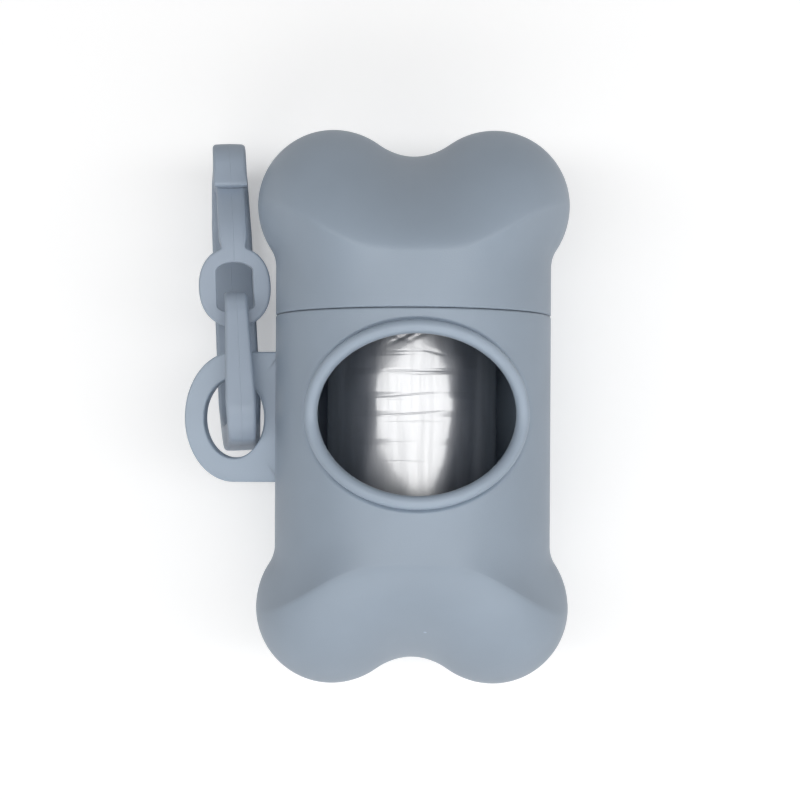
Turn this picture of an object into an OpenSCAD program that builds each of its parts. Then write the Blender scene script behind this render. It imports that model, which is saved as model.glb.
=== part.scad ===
// Bone-shaped holder for a roll of dog waste bags: a body with a pull-off cap, an oval window
// that the bags come out of, and a sprung hook clip that hangs in a lug on the body's side.
//
// The holder lies on its back. +Y runs along the bone towards the cap, +Z out of the window,
// and the lug and clip are on the -X side. The origin is on the surface that it lies on, under
// the middle of the whole outline. All lengths are in millimetres and all angles in degrees.

/* [Bone] */
// Length of the bone over its lobes
bone_len = 90; // [80:0.5:110]
// Radius of the bone's round waist
waist_r = 22.4; // [21:0.1:26]
// How far each lobe stands out past the waist
lobe_over = 3; // [1.5:0.1:5]
// Radius of a lobe's outline
lobe_r = 12.5; // [11:0.1:13.5]
// Radius of the dip between two lobes
dip_r = 10; // [7:0.5:14]
// Radius of the hollow where the waist runs out into a lobe
hip_r = 5.7; // [4:0.1:8]
// Distance from the lobes' widest place back to the ridge at the middle of the front
ridge_back = 9.2; // [6:0.1:12]
// Length of the swelling before the ridge, at the middle of the front
flare_mid = 5.5; // [3:0.1:8]
// Wall thickness of the body and the cap
wall = 2; // [1.6:0.1:2.6]
// Chamfer along the seam's two edges
seam_chamfer = 0.15; // [0.05:0.05:0.3]

/* [Cap joint] */
// Distance from the bone's middle to the seam
seam_y = 14.6; // [14:0.1:17]
// Gap left in the closed seam
seam_gap = 0.1; // [0.05:0.05:0.3]
// Length of the neck that the cap slides on
neck_len = 7; // [4:0.5:9]
// Wall of the neck
neck_wall = 1.2; // [1:0.1:1.6]
// Radial running clearance between neck and cap
neck_fit = 0.08; // [0.05:0.01:0.1]
// Wall of the cap around the neck
socket_wall = 2.2; // [2:0.1:3]
// Width of the step inside the cap, past the neck's end
socket_step = 0.6; // [0.4:0.1:1]
// Gap between the neck's end and that step
socket_gap = 0.5; // [0.3:0.1:1]

/* [Window] */
// Width of the window to the middle of its bead
window_w = 33.4; // [28:0.1:35]
// Height of the window to the middle of its bead
window_h = 25.8; // [20:0.1:26]
// Place of the window's middle along the bone
window_y = -1.05; // [-3:0.05:-1]
// Radius of the bead round the window
bead_r = 0.86; // [0.6:0.02:1]

/* [Lug] */
// How far the lug stands out from the waist
lug_reach = 14.7; // [13:0.1:18]
// Height of the lug along the bone
lug_h = 21.2; // [20:0.1:26]
// Place of the lug's middle along the bone
lug_y = -1.8; // [-4:0.1:0]
// Thickness of the lug
lug_t = 3.6; // [3:0.1:4]
// Length of the lug's rounded part
lug_round = 8; // [6:0.1:10]
// Width of the oval hole
hole_w = 9.7; // [9:0.1:11]
// Height of the oval hole
hole_h = 13; // [11:0.1:14]
// Band between the hole and the lug's outer edge
lug_band = 3.2; // [2.5:0.1:4]

/* [Clip] */
// Overall length of the clip
clip_len = 49.5; // [48:0.5:60]
// Depth of the clip, from its spine to its nose
clip_depth = 23; // [21:0.5:23]
// Width of the spine
spine_w = 7; // [5:0.1:8]
// Width of the foot, where the clip passes through the lug
foot_w = 4.3; // [3.5:0.1:4.6]
// Width of the head, which holds the gate
head_w = 5.4; // [4.6:0.1:6.5]
// Width of the nose at its tip
tip_w = 3.7; // [3:0.1:4.2]
// Width of the nose at its foot
nose_w = 4.8; // [4:0.1:5.2]
// Height of the nose's tip above the foot
nose_len = 21.6; // [20:0.2:23]
// Thickness of the spine
spine_t = 3.5; // [2.5:0.1:4]
// Thickness of the foot
foot_t = 3.8; // [3:0.1:4]
// Thickness of the head above the seat
head_t = 4; // [3:0.1:5]
// Thickness of the nose
nose_t = 3.3; // [2.6:0.1:3.4]
// Radius of the seat that a lead or ring lies in
seat_r = 7.2; // [6:0.1:7.5]
// Length of the head's front below the clip's top
head_drop = 8.6; // [8:0.1:10]

/* [Gate] */
// Radius of the gate's round root, on its hinge axis
root_r = 1.3; // [1.1:0.05:1.5]
// Clearance round the root
root_gap = 0.15; // [0.1:0.05:0.3]
// Width of the gate's arm
arm_w = 4.6; // [3.6:0.1:5.4]
// Thickness of the gate's arm
arm_t = 2.2; // [1.6:0.1:2.6]
// Outer width of the eye
eye_w = 11.6; // [10.5:0.1:12]
// Outer length of the eye
eye_len = 12.8; // [11.5:0.1:13.5]
// Width of the eye's band
eye_band = 2.85; // [2.4:0.05:3]
// Thickness of the eye
eye_t = 2.6; // [2:0.1:3]
// Slope of the eye towards the nose
eye_slope = 15; // [10:1:18]
// Clearance between the nose and the eye
nose_gap = 0.35; // [0.2:0.05:0.6]

/* [Clip at rest] */
// Sideways lean of the clip's top
clip_lean = 2.6; // [2:0.1:6]
// Turn of the clip about its own length
clip_turn = 9.4; // [4:0.1:10]
// Slope of the clip's top down to the table
clip_pitch = 9.8; // [9:0.1:11]

/* [Bag roll] */
// Radius of the wound film
roll_r = 14; // [11:0.5:14]
// Length of the roll
roll_len = 57; // [45:1:58]
// Outer radius of the card core
core_r = 6; // [5:0.5:8]
// Wall of the card core
core_wall = 0.9; // [0.6:0.1:1.5]
// Gap between the roll and what it lies on
roll_gap = 0.4; // [0.3:0.05:0.8]

/* [Hidden] */
// Steps of the curves: round the bone, along its flare, over its end, and round small tubes
around = 72;
flare_steps = 5;
dome_steps = 14;
core_around = 48;
core_flare_steps = 3;
core_dome_steps = 9;
bead_steps = 72;
$fn = 96;
overlap = 1;
tiny = 0.01;

// Outline of the bone, seen from the front: lobe circles, the dip arc and the hip arc
bone_half_w = waist_r + lobe_over;
lobe_x = bone_half_w - lobe_r;
lobe_y = bone_len / 2 - lobe_r;
dip_cy = lobe_y + sqrt(pow(lobe_r + dip_r, 2) - pow(lobe_x, 2));
dip_join_x = dip_r * lobe_x / (lobe_r + dip_r);
dip_y = dip_cy - dip_r;
hip_cx = waist_r + hip_r;
hip_y = lobe_y - sqrt(pow(lobe_r + hip_r, 2) - pow(hip_cx - lobe_x, 2));
hip_join_y = lobe_y - lobe_r * (lobe_y - hip_y) / (lobe_r + hip_r);
ridge_y = lobe_y - ridge_back;
ridge_power = 1.5;
flare_side = lobe_y - hip_y;

// Inner sizes
cavity_r = waist_r - wall;
socket_r = waist_r - socket_wall;
cap_cavity_r = socket_r - socket_step;
neck_r = socket_r - neck_fit;
neck_in_r = neck_r - neck_wall;
neck_root = seam_y - (window_y + window_h / 2 + bead_r);
socket_depth = neck_len + socket_gap;
roll_drop = neck_in_r - roll_gap - roll_r;

// Places in the whole: the lug makes the outline longer on the -X side
mid_x = (lug_reach + waist_r - bone_half_w) / 2;
axis_z = waist_r;
lug_left = -(waist_r + lug_reach);
hole_x = lug_left + lug_band + hole_w / 2;
hole_drop = 0.2;
foot_aside = 0.8;
foot_drop = 2;

// The clip's own frame: T across it, U along it from foot to head, V from the lug out to the nose.
// Its origin is the middle of the foot, in the middle of the lug's thickness.
foot_x = hole_x + foot_aside;
foot_y = lug_y - foot_drop;
clip_bottom = -foot_t / 2;
clip_top = clip_bottom + clip_len;
nose_in = 4.7;
tip_in = 0.3;
tip_thin = 0.5;
nose_front = nose_in + nose_t;
clip_back = nose_front - clip_depth;
nose_lean = 2;
head_low = clip_top - head_drop;
corner_front = 5;
corner_back = 8;
seat_skin = 0.2;
seat_v = clip_back + spine_t + seat_r + seat_skin;
seat_u = clip_top - head_t - seat_r;
root_up = 2;
lip_t = 2;
root_u = head_low + root_up;
root_v = nose_front - lip_t - root_gap - root_r;
gate_open = 22;
lip_flare = 0.75;
foot_bend = 3.2;
back_bend = 6.2;
spine_v = clip_back + spine_t / 2;
hook_t = 1.9;
hook_bend = 1.8;
hook_u = nose_len - hook_t / 2;
hook_dip = 0.8;
hook_end = nose_in - hook_dip;
eye_lap = 5.4;
eye_low = nose_len - eye_lap;
eye_corner = 3.4;
arm_bow = 1.1;
arm_bow_power = 1.3;
arm_spread = 2.4;
arm_spread_from = 0.82;
eye_blend_from = 0.7;
eye_blend_thin = 0.3;
edge_r = 0.7;
block_in = 0.1;

// ---- Curves ----

// Height of the bone's outline over X, at one end
function outline_y(x) = abs(x) < dip_join_x
    ? dip_cy - sqrt(dip_r * dip_r - x * x)
    : lobe_y + sqrt(max(0, lobe_r * lobe_r - pow(abs(x) - lobe_x, 2)));

// Height of the dome over X that gives this outline
function dome_y(x) = let (k = min(abs(x) / bone_half_w, 0.999))
    lobe_y + (outline_y(k * bone_half_w) - lobe_y) / sqrt(1 - k * k);

// Half-width of the outline beside the waist and lobe
function outline_x(y) = y < hip_join_y
    ? hip_cx - sqrt(hip_r * hip_r - pow(y - hip_y, 2))
    : lobe_x + sqrt(lobe_r * lobe_r - pow(y - lobe_y, 2));

// Share of the lobe's width that the flare has reached at q, from 0 to 1 along it
function flare(q) = (outline_x(hip_y + q * flare_side) - waist_r) / lobe_over;

function ridge_at(x) = ridge_y + ridge_back * pow(abs(x) / bone_half_w, ridge_power);
function flare_at(x) = ridge_at(x) - flare_mid - (flare_side - flare_mid) * pow(x / bone_half_w, 2);

// A point of one end's outer surface, at angle a round the bone and v along it:
// 0 where the flare starts, 1 on the ridge, 2 at the middle of the end
function end_point(a, v) = let (
        ridge_x = bone_half_w * cos(a),
        ridge = ridge_at(ridge_x)
    ) v < 1
    ? let (start = flare_at(ridge_x))
        [(waist_r + lobe_over * flare(v)) * cos(a), start + v * (ridge - start), waist_r * sin(a)]
    : let (t = 90 * (v - 1), x = cos(t) * ridge_x)
        [x, ridge + (dome_y(x) - ridge) * sin(t), cos(t) * waist_r * sin(a)];

function unit(p) = p / norm(p);

// Outward normal, from the surface's two directions
function end_normal(a, v) = unit(cross(
    end_point(a, v + tiny) - end_point(a, v - tiny),
    end_point(a + 0.5, v) - end_point(a - 0.5, v)));

// The same point, moved in by a wall and kept inside a radius
function inner_point(a, v, thick, max_r) = let (
        p = end_point(a, v) - thick * end_normal(a, v),
        k = min(1, max_r / norm([p[0], p[2]]))
    ) [p[0] * k, p[1], p[2] * k];

function circle_ring(r, y, n) = [for (i = [0 : n - 1]) [r * cos(360 * i / n), y, r * sin(360 * i / n)]];

// Rows from the flare's start to just before the middle of the end
function end_rows(flares, domes) = concat(
    [for (j = [0 : flares - 1]) max(tiny * 2, j / flares)],
    [for (j = [0 : domes - 1]) 1 + j / domes]);

// ---- Solids from rings of points ----

// Side faces between rings of n points, as triangles that face outwards
function ring_faces(rings, n) = [for (j = [0 : rings - 2], i = [0 : n - 1], half = [0, 1])
    let (a = j * n + i, b = j * n + (i + 1) % n)
    half == 0 ? [a, b, b + n] : [a, b + n, a + n]];

// A solid with a flat first ring and a point at its other end
module domed_solid(rings, pole) {
    n = len(rings[0]);
    last = (len(rings) - 1) * n;
    polyhedron(
        points = concat([for (r = rings) each r], [pole]),
        faces = concat(
            [[for (i = [n - 1 : -1 : 0]) i]],
            ring_faces(len(rings), n),
            [for (i = [0 : n - 1]) [last + i, last + (i + 1) % n, last + n]]));
}

// A bar with flat ends through its rings
module bar_solid(rings) {
    n = len(rings[0]);
    last = (len(rings) - 1) * n;
    polyhedron(
        points = [for (r = rings) each r],
        faces = concat(
            [[for (i = [n - 1 : -1 : 0]) i]],
            ring_faces(len(rings), n),
            [[for (i = [0 : n - 1]) last + i]]));
}

// A closed ring-shaped bar
module loop_solid(rings) {
    n = len(rings[0]);
    total = len(rings) * n;
    polyhedron(
        points = [for (r = rings) each r],
        faces = [for (f = ring_faces(len(rings) + 1, n)) [for (i = f) i % total]]);
}

// Rounded rectangle, 4 points to a corner, as [across, through] pairs
function soft_box(w, t, r) = [for (c = [0 : 3], j = [0 : 3])
    let (a = 90 * c + 30 * j, sx = (c == 0 || c == 3) ? 1 : -1, sy = c < 2 ? 1 : -1)
    [sx * (w / 2 - r) + r * cos(a), sy * (t / 2 - r) + r * sin(a)]];

// ---- Bone shells ----

module end_outer(from_y) {
    domed_solid(
        concat(
            [circle_ring(waist_r - seam_chamfer, from_y, around)],
            [circle_ring(waist_r, from_y + seam_chamfer, around)],
            [for (v = end_rows(flare_steps, dome_steps))
                [for (i = [0 : around - 1]) end_point(360 * i / around, v)]]),
        [0, dip_y, 0]);
}

module end_inner(from_y, max_r) {
    n = core_around;
    domed_solid(
        concat(
            [circle_ring(max_r, from_y, n)],
            [for (v = end_rows(core_flare_steps, core_dome_steps))
                [for (i = [0 : n - 1]) inner_point(360 * i / n, v, wall, max_r)]]),
        [0, dip_y - wall, 0]);
}

// A round solid along the bone, from y0 to y1
module along(r, y0, y1) {
    translate([0, y0, 0]) rotate([-90, 0, 0]) cylinder(r = r, h = y1 - y0);
}

// Place of the bead's middle, and the wall's outward direction there
function bead_at(a) = let (x = window_w / 2 * cos(a))
    [x, window_y + window_h / 2 * sin(a), sqrt(waist_r * waist_r - x * x)];

module window_bead() {
    loop_solid([for (i = [0 : bead_steps - 1]) let (
            a = 360 * i / bead_steps,
            p = bead_at(a),
            out = [p[0], 0, p[2]] / waist_r,
            way = unit(bead_at(a + 0.5) - bead_at(a - 0.5)),
            side = cross(way, out),
            deep = wall - bead_r)
        [for (b = [0 : 30 : 330])
            p + side * bead_r * cos(b) + out * (bead_r * sin(b) - (b > 180 || b == 0 ? deep : 0))]]);
}

module window_cut() {
    translate([0, window_y, 0]) linear_extrude(waist_r + overlap)
        polygon([for (a = [0 : 5 : 355])
            [(window_w / 2 - bead_r / 2) * cos(a), window_h / 2 * sin(a)]]);
}

function oval(cx, cy, w, h) = [for (a = [0 : 6 : 354]) [cx + w / 2 * cos(a), cy + h / 2 * sin(a)]];

module lug() {
    round_x = lug_left + lug_round;
    translate([0, 0, -lug_t / 2]) linear_extrude(lug_t) difference() {
        polygon(concat(
            [[-waist_r + wall / 2, lug_y + lug_h / 2]],
            [for (a = [90 : 6 : 270]) [round_x + lug_round * cos(a), lug_y + lug_h / 2 * sin(a)]],
            [[-waist_r + wall / 2, lug_y - lug_h / 2]]));
        polygon(oval(hole_x, lug_y - hole_drop, hole_w, hole_h));
    }
}

module body_shell() {
    color([0.61, 0.67, 0.72]) translate([mid_x, 0, axis_z]) union() {
        difference() {
            mirror([0, 1, 0]) end_outer(-seam_y);
            mirror([0, 1, 0]) end_inner(-seam_y - overlap, cavity_r);
            window_cut();
        }
        difference() {
            union() {
                along(waist_r - wall / 2, seam_y - neck_root, seam_y);
                along(neck_r, seam_y - neck_root, seam_y + neck_len);
            }
            along(neck_in_r, seam_y - neck_root - overlap, seam_y + neck_len + overlap);
        }
        window_bead();
        lug();
    }
}

module cap_shell() {
    color([0.61, 0.67, 0.72]) translate([mid_x, 0, axis_z]) difference() {
        end_outer(seam_y + seam_gap);
        end_inner(seam_y - overlap, cap_cavity_r);
        along(socket_r, seam_y - overlap, seam_y + socket_depth);
    }
}

// ---- Clip ----

module clip_place() {
    translate([mid_x + foot_x, foot_y, axis_z])
        rotate([-clip_pitch, clip_turn, clip_lean]) children();
}

// Arc of stations in the clip's U-V plane, from one width and thickness to another
function path_arc(cu, cv, r, from, to, n, w0, w1, t0, t1) = [for (i = [0 : n])
    let (a = from + (to - from) * i / n)
    [cu + r * cos(a), cv + r * sin(a), between(w0, w1, i / n), between(t0, t1, i / n)]];

// The same arc as points of an outline
function outline_arc(cu, cv, r, from, to, n) = [for (i = [0 : n])
    let (a = from + (to - from) * i / n) [cu + r * cos(a), cv + r * sin(a)]];

// Middle of the nose's thickness at height u
function nose_v(u) = nose_in + nose_t / 2 + u * tan(nose_lean);

function between(a, b, x) = a + (b - a) * min(1, max(0, x));
function smooth(x) = let (c = min(1, max(0, x))) c * c * (3 - 2 * c);

// A bar along stations of [U, V, width, thickness]
module clip_bar(stations) {
    last = len(stations) - 1;
    bar_solid([for (i = [0 : last]) let (
            p = stations[i],
            q0 = stations[max(0, i - 1)],
            q1 = stations[min(last, i + 1)],
            d = unit([q1[0] - q0[0], q1[1] - q0[1]]))
        [for (c = soft_box(p[2], p[3], edge_r)) [c[0], p[0] - d[1] * c[1], p[1] + d[0] * c[1]]]]);
}

// A flat outline in U and V, given a width
module plate(width) {
    rotate([90, 0, 90]) translate([0, 0, -width / 2]) linear_extrude(width) children();
}

// Stations from the hook at the nose's tip, down the nose, through the foot, up the spine
// and over the head to the head's front end
function frame_stations() = concat(
    [[hook_u, hook_end, tip_w - tip_in, hook_t]],
    path_arc(hook_u - hook_bend, nose_v(hook_u - hook_bend) - hook_bend, hook_bend, 0, 90, 4,
        tip_w, tip_w, hook_t, nose_t - tip_thin),
    [for (i = [1 : 5]) let (u = between(hook_u - hook_bend, foot_bend, i / 6))
        [u, nose_v(u), between(tip_w, nose_w, i / 6), nose_t]],
    path_arc(foot_bend, nose_v(0) - foot_bend, foot_bend, 90, 180, 6, nose_w, foot_w, nose_t, foot_t),
    [[0, nose_v(0) - foot_bend - overlap, foot_w, foot_t]],
    [[0, -lug_t, between(foot_w, spine_w, 0.2), foot_t]],
    path_arc(back_bend, spine_v + back_bend, back_bend, 180, 270, 7,
        between(foot_w, spine_w, 0.5), between(foot_w, spine_w, 0.9), foot_t, spine_t),
    [for (i = [1 : 5]) [between(back_bend, clip_top - corner_back, i / 6), spine_v, spine_w, spine_t]],
    path_arc(clip_top - corner_back, clip_back + corner_back, corner_back - spine_t / 2, 270, 360, 7,
        spine_w, head_w, spine_t, spine_t),
    path_arc(clip_top - corner_front, nose_front - corner_front, corner_front - spine_t / 2, 0, 90, 5,
        head_w, head_w, spine_t, spine_t),
    [[head_low, nose_front - spine_t / 2, head_w, spine_t]]);

// The head's filled inside, which the seat and the gate's socket are cut from
module head_block() {
    plate(head_w - 2 * block_in) polygon(concat(
        [[seat_u, clip_back + overlap]],
        outline_arc(clip_top - corner_back, clip_back + corner_back, corner_back - overlap, 270, 360, 6),
        outline_arc(clip_top - corner_front, nose_front - corner_front, corner_front - overlap, 0, 90, 6),
        [[head_low, nose_front - overlap], [head_low, seat_v], [seat_u, seat_v]]));
}

// Room for the gate's root and for its arm as it opens
module gate_room() {
    r = root_r + root_gap;
    down = root_u - head_low + overlap;
    plate(spine_w + 2) union() {
        translate([root_u, root_v]) circle(r = r);
        polygon([
            [root_u, root_v + r],
            [head_low - overlap, root_v + r + lip_flare],
            [head_low - overlap, root_v - r / cos(gate_open) - down * tan(gate_open)],
            [root_u + r * sin(gate_open), root_v - r * cos(gate_open)]]);
    }
}

module clip_frame() {
    color([0.58, 0.64, 0.70]) clip_place() difference() {
        union() {
            clip_bar(frame_stations());
            head_block();
        }
        plate(spine_w + 2) translate([seat_u, seat_v]) circle(r = seat_r);
        gate_room();
    }
}

// Place of the eye's middle, and the two directions of its plane
eye_up = [0, cos(eye_slope), sin(eye_slope)];
eye_out = [0, -sin(eye_slope), cos(eye_slope)];
eye_front_low = nose_in + (eye_low + eye_band) * tan(nose_lean) - nose_gap - eye_band * tan(eye_slope);
eye_mid = [0, eye_low, eye_front_low] + eye_up * eye_len / 2 - eye_out * eye_t / 2;
eye_top = eye_mid + eye_up * (eye_len - eye_band) / 2;

module eye() {
    r = eye_corner;
    hx = (eye_w - eye_band) / 2 - r;
    hy = (eye_len - eye_band) / 2 - r;
    loop_solid([for (c = [0 : 3], j = [0 : 8]) let (
            a = 90 * c + 11.25 * j,
            sx = (c == 0 || c == 3) ? 1 : -1,
            sy = c < 2 ? 1 : -1,
            away = [cos(a), 0, 0] + eye_up * sin(a),
            p = eye_mid + [sx * hx, 0, 0] + eye_up * sy * hy + away * r)
        [for (s = soft_box(eye_band, eye_t, edge_r)) p + away * s[0] + eye_out * s[1]]]);
}

// The arm bows out from its root and widens into the eye
function arm_stations() = [for (i = [0 : 10]) let (
        q = i / 10,
        u = between(root_u, eye_top[1], q),
        v = between(root_v, eye_top[2], q) + arm_bow * sin(180 * pow(q, arm_bow_power)),
        spread = smooth((q - arm_spread_from) / (1 - arm_spread_from)),
        blend = smooth((q - eye_blend_from) / (1 - eye_blend_from)))
    [u, v, arm_w + arm_spread * spread, between(arm_t, eye_t - eye_blend_thin, blend)]];

module clip_gate() {
    color([0.62, 0.68, 0.74]) clip_place() {
        plate(arm_w) translate([root_u, root_v]) circle(r = root_r);
        clip_bar(arm_stations());
        eye();
    }
}

// ---- Bag roll ----

module bag_roll() {
    color([0.16, 0.17, 0.19]) translate([mid_x, 0, axis_z - roll_drop]) difference() {
        along(roll_r, -roll_len / 2, roll_len / 2);
        along(core_r, -roll_len / 2 - overlap, roll_len / 2 + overlap);
    }
}

module core_tube() {
    color([0.62, 0.50, 0.38]) translate([mid_x, 0, axis_z - roll_drop]) difference() {
        along(core_r, -roll_len / 2, roll_len / 2);
        along(core_r - core_wall, -roll_len / 2 - overlap, roll_len / 2 + overlap);
    }
}

body_shell();
cap_shell();
clip_frame();
clip_gate();
bag_roll();
core_tube();
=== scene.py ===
# A bone-shaped plastic holder for a roll of dog waste bags, lying on its back with its hook clip.
# +Y runs along the bone towards its cap, +Z out of the window, and the clip is on the -X side.

import math

import bmesh
import bpy
import numpy as np
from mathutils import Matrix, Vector
from mathutils.geometry import delaunay_2d_cdt


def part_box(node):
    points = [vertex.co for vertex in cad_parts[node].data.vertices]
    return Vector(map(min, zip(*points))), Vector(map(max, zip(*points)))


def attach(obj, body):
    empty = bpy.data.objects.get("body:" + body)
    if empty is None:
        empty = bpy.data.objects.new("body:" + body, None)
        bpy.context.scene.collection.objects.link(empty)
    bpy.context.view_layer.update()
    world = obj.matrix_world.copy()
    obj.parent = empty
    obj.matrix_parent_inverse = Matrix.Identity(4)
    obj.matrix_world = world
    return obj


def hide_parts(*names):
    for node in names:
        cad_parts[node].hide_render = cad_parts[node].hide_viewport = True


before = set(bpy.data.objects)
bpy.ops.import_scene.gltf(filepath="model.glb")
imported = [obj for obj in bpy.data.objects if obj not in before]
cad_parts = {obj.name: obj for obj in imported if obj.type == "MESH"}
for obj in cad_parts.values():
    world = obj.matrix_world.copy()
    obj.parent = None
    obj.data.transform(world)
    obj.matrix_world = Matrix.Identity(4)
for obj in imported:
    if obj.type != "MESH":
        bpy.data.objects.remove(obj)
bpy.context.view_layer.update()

# ---- Lower shell of the bone ----
# One injection moulding in grey-blue plastic with a soft-touch, matt skin: a round waist that
# runs out into two lobes, with a window in its front, and a thin neck inside the seam for the
# cap. The walls are 2 mm thick. All sizes below are in millimetres, about the bone's own axis.

waist_r, lobe_over, lobe_r, dip_r, hip_r, half_len = 22.4, 3.0, 12.5, 10.0, 5.7, 45.0
ridge_back, ridge_from, ridge_to, dome_power, wall = 9.4, 6.0, 24.0, 1.45, 2.0
flare_mid, crease_power, crease_from, swell = 6.5, 2.0, 0.7, 1.0
seam_y, seam_gap, seam_edge = 14.6, 0.1, 0.3
neck_len, neck_wall, neck_fit, socket_wall, socket_step, socket_gap = 7.0, 1.2, 0.08, 2.2, 0.6, 0.5
window_half_w, window_half_h, window_x, window_y, bead_r = 16.05, 12.87, 0.5, -1.05, 1.02
gutter_depth, gutter_w = 0.5, 0.27

low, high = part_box("cap_shell")
axis_x, axis_z = (low[0] + high[0]) * 500, waist_r

bone_half_w = waist_r + lobe_over
lobe_x, lobe_y = bone_half_w - lobe_r, half_len - lobe_r
dip_cy = lobe_y + math.sqrt((lobe_r + dip_r) ** 2 - lobe_x**2)
dip_join_x = dip_r * lobe_x / (lobe_r + dip_r)
dip_y = dip_cy - dip_r
hip_cx = waist_r + hip_r
hip_y = lobe_y - math.sqrt((lobe_r + hip_r) ** 2 - (hip_cx - lobe_x) ** 2)
hip_join_y = lobe_y - lobe_r * (lobe_y - hip_y) / (lobe_r + hip_r)
ridge_y, flare_side = lobe_y - ridge_back, lobe_y - hip_y
cavity_r = waist_r - wall
socket_r = waist_r - socket_wall
cap_cavity_r = socket_r - socket_step
neck_r = socket_r - neck_fit
neck_in_r = neck_r - neck_wall
neck_start = window_y + window_half_h + bead_r

around = 288
turns = np.linspace(0, 2 * np.pi, around, endpoint=False)[None, :]
flare_v = np.linspace(0.002, 1, 20, endpoint=False)[:, None]
dome_v = np.linspace(1, 2, 46, endpoint=False)[:, None]
inner_v = np.vstack([flare_v[::2], dome_v[::2]])[::-1]
# The window is cut from the waist's rows between two angles, where these rows lie
inner_ys, outer_ys = np.linspace(-12.6, 14.8, 60), np.linspace(-14.15, 16.4, 60)
window_turns = (around * 30 // 360, around * 150 // 360)


def outline_y(x):
    """Height of the bone's outline over x: the dip's circle in the middle, a lobe's circle past it."""
    x = np.abs(x)
    dip = dip_cy - np.sqrt(np.maximum(dip_r**2 - x**2, 0))
    lobe = lobe_y + np.sqrt(np.maximum(lobe_r**2 - (x - lobe_x) ** 2, 0))
    return np.where(x < dip_join_x, dip, lobe)


def dome_y(x):
    """Height of the dome over x: the outline's height, divided by the dome's own fall at x."""
    k = np.minimum(np.abs(x) / bone_half_w, 0.9995)
    return lobe_y + (outline_y(k * bone_half_w) - lobe_y) / np.sqrt(1 - k**2)


def flare_share(q):
    """Share of the lobe's extra width at q, from 0 to 1: a hollow arc first, then the lobe's arc."""
    y = hip_y + q * flare_side
    hollow = hip_cx - np.sqrt(np.maximum(hip_r**2 - (y - hip_y) ** 2, 0))
    full = lobe_x + np.sqrt(np.maximum(lobe_r**2 - (y - lobe_y) ** 2, 0))
    return (np.where(y < hip_join_y, hollow, full) - waist_r) / lobe_over


def ridge_at(x):
    """Place of the ridge along the bone: half a smoothstep towards the lobe and half a parabola."""
    k = np.clip((np.abs(x) - ridge_from) / (ridge_to - ridge_from), 0, 1)
    return ridge_y + ridge_back * 0.5 * (k**2 * (3 - 2 * k) + np.clip(np.abs(x) / ridge_to, 0, 1) ** 2)


def flare_at(x):
    """Where the swelling before the ridge starts: further back towards the sides, as a square."""
    return ridge_at(x) - flare_mid - (flare_side - flare_mid) * (x / bone_half_w) ** 2


def end_point(a, v):
    """Outer surface of one end at angle a round the bone: v from 0 to 1 swells out to the ridge, by
    flare_share at the sides and by a power of v elsewhere, which leaves a soft crease along the
    ridge. v from 1 to 2 goes over the dome, whose height falls on a quarter of a superellipse."""
    ridge_x = bone_half_w * np.cos(a)
    ridge, start = ridge_at(ridge_x), flare_at(ridge_x)
    q, t = np.clip(v, 0, 1), np.clip(v - 1, 0, 1) * np.pi / 2
    dome_x = np.cos(t) * ridge_x
    side = np.clip((np.abs(np.cos(a)) - crease_from) / (1 - crease_from), 0, 1) ** 2
    share = side * flare_share(q) + (1 - side) * q**crease_power
    rise = waist_r + swell * np.sin(2 * a) ** 2 * q**crease_power
    flare = [(waist_r + lobe_over * share) * np.cos(a), start + q * (ridge - start), rise * np.sin(a)]
    fall = np.maximum(1 - np.sin(t) ** dome_power, 0) ** (1 / dome_power)
    dome = [dome_x, ridge + (dome_y(dome_x) - ridge) * np.sin(t), fall * rise * np.sin(a)]
    return np.stack([np.where(v < 1, f, d) for f, d in zip(flare, dome)], -1)


def inner_point(a, v, max_r):
    """Inner surface: the outer point moved in by the wall along its normal, and kept inside a radius."""
    step = 0.004
    along = end_point(a, v + step) - end_point(a, v - step)
    normal = np.cross(along, end_point(a + step, v) - end_point(a - step, v))
    p = end_point(a, v) - wall * normal / np.linalg.norm(normal, axis=-1, keepdims=True)
    k = np.minimum(1, max_r / np.linalg.norm(p[..., [0, 2]], axis=-1))
    return p * np.stack([k, np.ones_like(k), k], -1)


def circles(rings):
    """Rows of points round the bone's axis, one row for each (radius, y)."""
    r, y = np.array(rings, float).T[:, :, None]
    return np.stack([r * np.cos(turns), y + 0 * turns, r * np.sin(turns)], -1)


def seam_corner(y, way):
    """Rings over the seam's rounded outer corner: a quarter circle that starts on the seam's face."""
    t = np.linspace(0, np.pi / 2, 6)
    return [(waist_r - seam_edge * (1 - np.sin(x)), y + way * seam_edge * (1 - np.cos(x))) for x in t]


def to_flare(y):
    """Rows of the plain waist, from one y to where the flare starts at each angle, in even steps."""
    k = np.linspace(0, 1, 9)[1:-1, None]
    rows = y + k * (flare_at(bone_half_w * np.cos(turns)) - y)
    return np.stack([waist_r * np.cos(turns) + 0 * rows, rows, waist_r * np.sin(turns) + 0 * rows], -1)


def tube_quads(rows, cols):
    """Quads between rows of points that close round their columns."""
    j, i = np.mgrid[: rows - 1, :cols]
    a, b = j * cols + i, j * cols + (i + 1) % cols
    return np.stack([a, b, b + cols, a + cols], -1)


def ring_quads(rings):
    """Quads between closed rings of vertex numbers."""
    after = np.roll(rings, -1, 1)
    return np.stack([rings[:-1], after[:-1], after[1:], rings[1:]], -1).reshape(-1, 4)


def fan(ring, tip):
    """Triangles from a closed ring of vertex numbers to one point."""
    return np.stack([ring, np.roll(ring, -1), np.full_like(ring, tip)], -1)


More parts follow.
